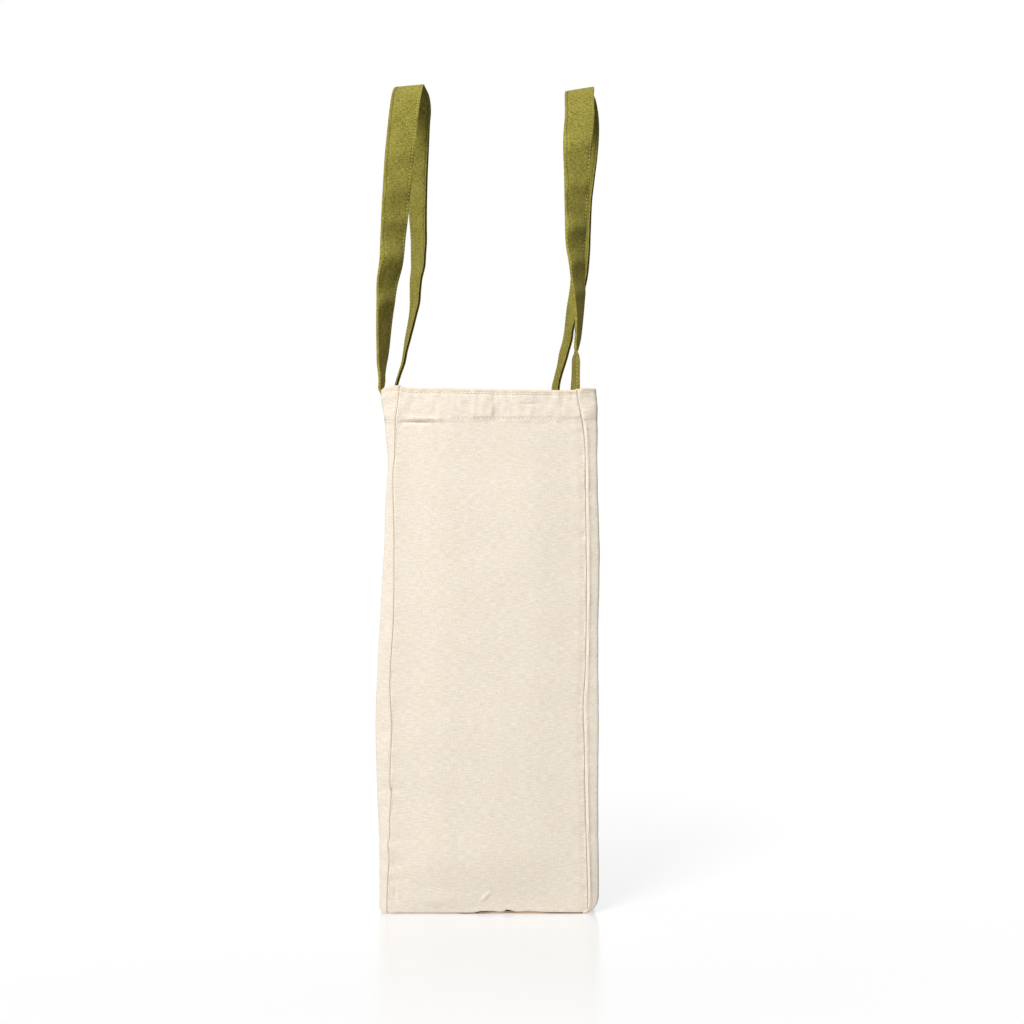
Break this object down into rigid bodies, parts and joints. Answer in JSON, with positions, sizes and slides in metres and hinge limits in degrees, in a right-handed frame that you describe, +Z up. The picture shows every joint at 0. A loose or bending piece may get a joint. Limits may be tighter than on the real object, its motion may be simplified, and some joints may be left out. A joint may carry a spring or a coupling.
{
  "type": "tote bag",
  "caption": "Open-topped canvas tote bag with a flat base, gusseted narrow sides, a faced rim and strap handles that stand as loops and fold down.",
  "frame": {"origin": "centre of the base's underside, on the surface that the bag stands on", "axes": "+Z up; +X along the wide panels, towards one gusset; -Y out of the front panel, +Y out of the back panel"},
  "size_m": [0.35, 0.1787, 0.6833],
  "materials": {
    "natural_canvas": "matt plain-weave natural cotton canvas",
    "olive_strap": "matt folded and stitched olive cotton canvas"
  },
  "bodies": {
    "bag": {"body_panel": "natural_canvas", "gusset_right": "natural_canvas", "gusset_left": "natural_canvas", "rim_facing": "natural_canvas", "front_handle_right_end": "olive_strap", "front_handle_left_end": "olive_strap", "back_handle_right_end": "olive_strap", "back_handle_left_end": "olive_strap"},
    "front_handle": {"front_handle": "olive_strap"},
    "back_handle": {"back_handle": "olive_strap"}
  },
  "joints": [
    {"name": "front_handle_fold", "type": "hinge", "parent": "bag", "child": "front_handle", "pos_m": [0, -0.0872, 0.408], "axis": [1, 0, 0], "range_deg": [-8.7, 174.3]},
    {"name": "back_handle_fold", "type": "hinge", "parent": "bag", "child": "back_handle", "pos_m": [0, 0.0692, 0.408], "axis": [-1, 0, 0], "range_deg": [-15.3, 167.7]}
  ]
}
